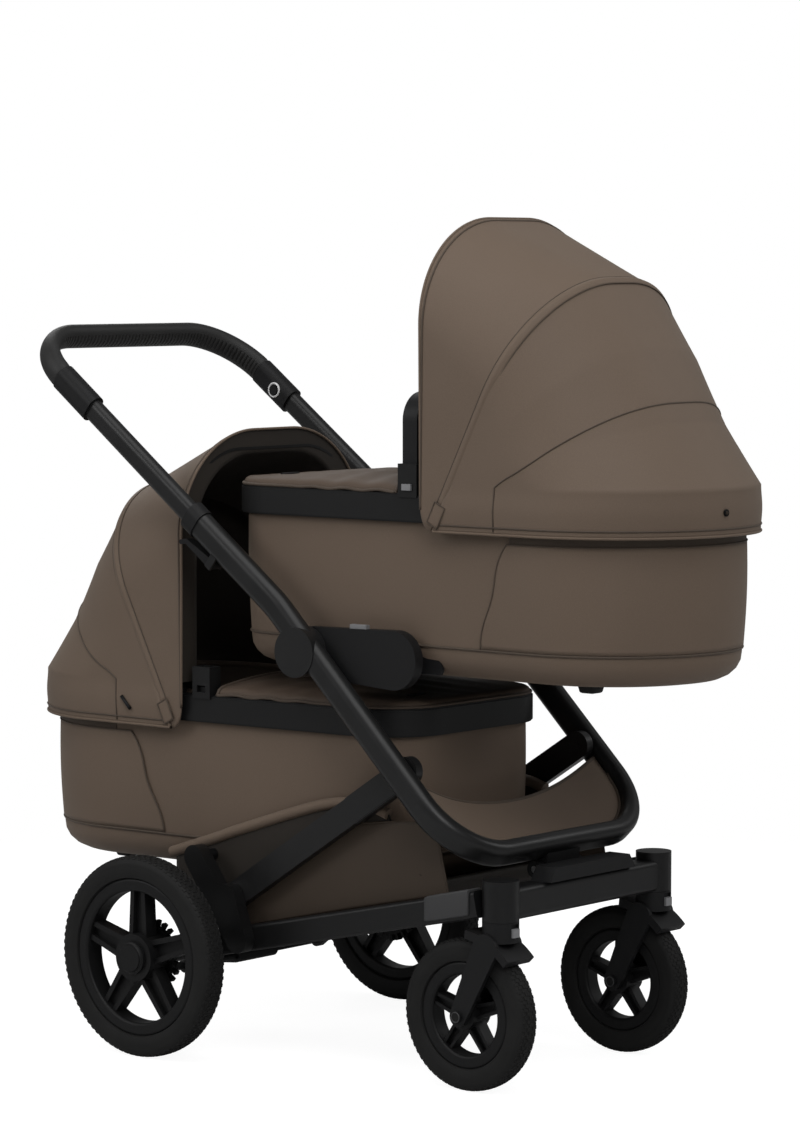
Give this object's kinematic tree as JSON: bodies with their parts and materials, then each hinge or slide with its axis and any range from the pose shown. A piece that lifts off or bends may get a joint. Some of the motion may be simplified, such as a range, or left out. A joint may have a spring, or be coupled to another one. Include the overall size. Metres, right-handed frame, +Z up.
{
  "type": "twin pram",
  "caption": "Twin pram with one carrycot above the other on a folding four-wheel chassis, with folding hoods, a telescopic handle, swivel casters and a basket.",
  "frame": {"origin": "on the floor, midway between the two cots along and across the pram", "axes": "+X the way it rolls, +Y its left side, +Z up"},
  "size_m": [1.22, 0.649, 1.2092],
  "materials": {
    "frame_black": "matte",
    "plastic_black": "matte",
    "bow_plastic": "matte",
    "rim_black": "satin",
    "tyre_black": "matte",
    "grip_black": "satin",
    "cloth_brown": "woven",
    "mattress_cloth": "woven",
    "button_grey": "satin",
    "steel": "brushed"
  },
  "bodies": {
    "chassis": {"front_beam": "frame_black", "pivot_cover": "plastic_black", "fold_pin": "steel", "rear_axle_beam": "frame_black", "rear_axle_shaft": "steel", "base_tube_left": "frame_black", "base_tube_right": "frame_black", "rear_upright_left": "frame_black", "rear_upright_right": "frame_black", "basket": "cloth_brown"},
    "brake": {"brake_pedal": "plastic_black"},
    "main_frame": {"main_frame": "frame_black", "frame_collars": "plastic_black", "footrest": "cloth_brown", "adapter_arm_left": "plastic_black", "adapter_arm_right": "plastic_black"},
    "handle": {"handle_tube": "frame_black", "handle_grip": "grip_black", "handle_collars": "plastic_black"},
    "upper_cot": {"upper_cot_rim": "plastic_black", "upper_cot_tub": "cloth_brown", "upper_cot_base": "plastic_black", "upper_mattress": "mattress_cloth", "upper_apron": "cloth_brown", "upper_hood_rear": "cloth_brown"},
    "lower_cot": {"lower_cot_rim": "plastic_black", "lower_cot_tub": "cloth_brown", "lower_cot_base": "plastic_black", "lower_mattress": "mattress_cloth", "lower_apron": "cloth_brown", "lower_hood_rear": "cloth_brown"},
    "upper_hood_mid": {"upper_hood_mid_bow": "bow_plastic", "upper_hood_front": "cloth_brown"},
    "lower_hood_mid": {"lower_hood_mid_bow": "bow_plastic", "lower_hood_front": "cloth_brown"},
    "upper_hood_front": {"upper_hood_front_bow": "bow_plastic"},
    "lower_hood_front": {"lower_hood_front_bow": "bow_plastic"},
    "carry_handle": {"carry_handle": "plastic_black"},
    "strut_left": {"strut_left": "frame_black"},
    "handle_button_left": {"handle_button_left": "button_grey"},
    "fold_lever_left": {"fold_lever_left": "plastic_black"},
    "adapter_button_left": {"adapter_button_left": "button_grey"},
    "caster_left": {"fork_left": "plastic_black"},
    "swivel_lock_left": {"swivel_lock_left": "button_grey"},
    "front_wheel_left": {"front_tyre_left": "tyre_black", "front_rim_left": "rim_black"},
    "rear_wheel_left": {"rear_tyre_left": "tyre_black", "rear_rim_left": "rim_black"},
    "carry_button_left": {"carry_button_left": "button_grey"},
    "strut_right": {"strut_right": "frame_black"},
    "handle_button_right": {"handle_button_right": "button_grey"},
    "fold_lever_right": {"fold_lever_right": "plastic_black"},
    "adapter_button_right": {"adapter_button_right": "button_grey"},
    "caster_right": {"fork_right": "plastic_black"},
    "swivel_lock_right": {"swivel_lock_right": "button_grey"},
    "front_wheel_right": {"front_tyre_right": "tyre_black", "front_rim_right": "rim_black"},
    "rear_wheel_right": {"rear_tyre_right": "tyre_black", "rear_rim_right": "rim_black"},
    "carry_button_right": {"carry_button_right": "button_grey"}
  },
  "joints": [
    {"name": "frame_fold", "type": "hinge", "parent": "chassis", "child": "main_frame", "pos_m": [0.3106, 0, 0.29719], "axis": [0, -1, 0], "range_deg": [0, 34]},
    {"name": "strut_fold_left", "type": "hinge", "parent": "main_frame", "child": "strut_left", "pos_m": [0.20218, 0.1995, 0.44331], "axis": [0, 1, 0], "range_deg": [0, 44.8]},
    {"name": "strut_fold_right", "type": "hinge", "parent": "main_frame", "child": "strut_right", "pos_m": [0.20218, -0.1995, 0.44331], "axis": [0, 1, 0], "range_deg": [0, 44.8]},
    {"name": "upper_cot_lift", "type": "slide", "parent": "chassis", "child": "upper_cot", "axis": [0, 0, 1], "range_m": [0, 0.9]},
    {"name": "lower_cot_lift", "type": "slide", "parent": "chassis", "child": "lower_cot", "axis": [0, 0, 1], "range_m": [0, 0.45]},
    {"name": "handle_slide", "type": "slide", "parent": "main_frame", "child": "handle", "axis": [0.7986, 0, -0.6018], "range_m": [-0.03, 0.12]},
    {"name": "handle_push_left", "type": "slide", "parent": "handle", "child": "handle_button_left", "axis": [0, 1, 0], "range_m": [0, 0.0025], "stiffness_N_per_m": 400},
    {"name": "fold_lever_swing_left", "type": "hinge", "parent": "main_frame", "child": "fold_lever_left", "pos_m": [-0.14166, 0.223, 0.71891], "axis": [0, -1, 0], "range_deg": [0, 25], "stiffness_Nm_per_rad": 0.4, "springref_deg": -11.46},
    {"name": "adapter_push_left", "type": "slide", "parent": "main_frame", "child": "adapter_button_left", "axis": [0, 0, -1], "range_m": [0, 0.003], "stiffness_N_per_m": 400, "springref_m": -0.001},
    {"name": "caster_swivel_left", "type": "hinge", "parent": "chassis", "child": "caster_left", "pos_m": [0.3525, 0.18, 0.27], "axis": [0, 0, 1], "continuous": true},
    {"name": "swivel_lock_push_left", "type": "slide", "parent": "caster_left", "child": "swivel_lock_left", "axis": [0, 0, 1], "range_m": [0, 0.006]},
    {"name": "front_wheel_spin_left", "type": "hinge", "parent": "caster_left", "child": "front_wheel_left", "pos_m": [0.2995, 0.18, 0.108], "axis": [0, 1, 0], "continuous": true},
    {"name": "rear_wheel_spin_left", "type": "hinge", "parent": "chassis", "child": "rear_wheel_left", "pos_m": [-0.2195, 0.2945, 0.1475], "axis": [0, 1, 0], "continuous": true},
    {"name": "handle_push_right", "type": "slide", "parent": "handle", "child": "handle_button_right", "axis": [0, -1, 0], "range_m": [0, 0.0025], "stiffness_N_per_m": 400},
    {"name": "fold_lever_swing_right", "type": "hinge", "parent": "main_frame", "child": "fold_lever_right", "pos_m": [-0.14166, -0.223, 0.71891], "axis": [0, -1, 0], "range_deg": [0, 25], "stiffness_Nm_per_rad": 0.4, "springref_deg": -11.46},
    {"name": "adapter_push_right", "type": "slide", "parent": "main_frame", "child": "adapter_button_right", "axis": [0, 0, -1], "range_m": [0, 0.003], "stiffness_N_per_m": 400, "springref_m": -0.001},
    {"name": "caster_swivel_right", "type": "hinge", "parent": "chassis", "child": "caster_right", "pos_m": [0.3525, -0.18, 0.27], "axis": [0, 0, 1], "continuous": true},
    {"name": "swivel_lock_push_right", "type": "slide", "parent": "caster_right", "child": "swivel_lock_right", "axis": [0, 0, 1], "range_m": [0, 0.006]},
    {"name": "front_wheel_spin_right", "type": "hinge", "parent": "caster_right", "child": "front_wheel_right", "pos_m": [0.2995, -0.18, 0.108], "axis": [0, 1, 0], "continuous": true},
    {"name": "rear_wheel_spin_right", "type": "hinge", "parent": "chassis", "child": "rear_wheel_right", "pos_m": [-0.2195, -0.2945, 0.1475], "axis": [0, 1, 0], "continuous": true},
    {"name": "brake_tip", "type": "hinge", "parent": "chassis", "child": "brake", "pos_m": [-0.26546, 0, 0.10893], "axis": [0, 1, 0], "range_deg": [0, 19]},
    {"name": "upper_hood_fold", "type": "hinge", "parent": "upper_cot", "child": "upper_hood_mid", "pos_m": [0.2565, 0, 0.846], "axis": [0, 1, 0], "range_deg": [0, 36], "deforming": ["upper_hood_rear", "upper_hood_front"]},
    {"name": "upper_hood_front_fold", "type": "hinge", "parent": "upper_hood_mid", "child": "upper_hood_front", "pos_m": [0.2565, 0, 0.846], "axis": [0, 1, 0], "range_deg": [0, 26], "deforming": ["upper_hood_front"]},
    {"name": "lower_hood_fold", "type": "hinge", "parent": "lower_cot", "child": "lower_hood_mid", "pos_m": [-0.2565, 0, 0.536], "axis": [0, -1, 0], "range_deg": [0, 36], "deforming": ["lower_hood_rear", "lower_hood_front"]},
    {"name": "lower_hood_front_fold", "type": "hinge", "parent": "lower_hood_mid", "child": "lower_hood_front", "pos_m": [-0.2565, 0, 0.536], "axis": [0, -1, 0], "range_deg": [0, 26], "deforming": ["lower_hood_front"]},
    {"name": "carry_handle_lift", "type": "slide", "parent": "upper_cot", "child": "carry_handle", "axis": [0, 0, 1], "range_m": [0, 0.06]},
    {"name": "carry_push_left", "type": "slide", "parent": "upper_cot", "child": "carry_button_left", "axis": [0, -1, 0], "range_m": [0, 0.0025], "stiffness_N_per_m": 400},
    {"name": "carry_push_right", "type": "slide", "parent": "upper_cot", "child": "carry_button_right", "axis": [0, 1, 0], "range_m": [0, 0.0025], "stiffness_N_per_m": 400}
  ],
  "couplings": [
    {"joint": "strut_fold_left", "follows": "frame_fold", "ratio": 1.3176},
    {"joint": "strut_fold_right", "follows": "frame_fold", "ratio": 1.3176},
    {"joint": "upper_cot_lift", "follows": "frame_fold", "m_per_rad": 1.5167},
    {"joint": "lower_cot_lift", "follows": "frame_fold", "m_per_rad": 0.75833},
    {"joint": "upper_hood_front_fold", "follows": "upper_hood_fold", "ratio": 0.7222},
    {"joint": "lower_hood_front_fold", "follows": "lower_hood_fold", "ratio": 0.7222}
  ]
}
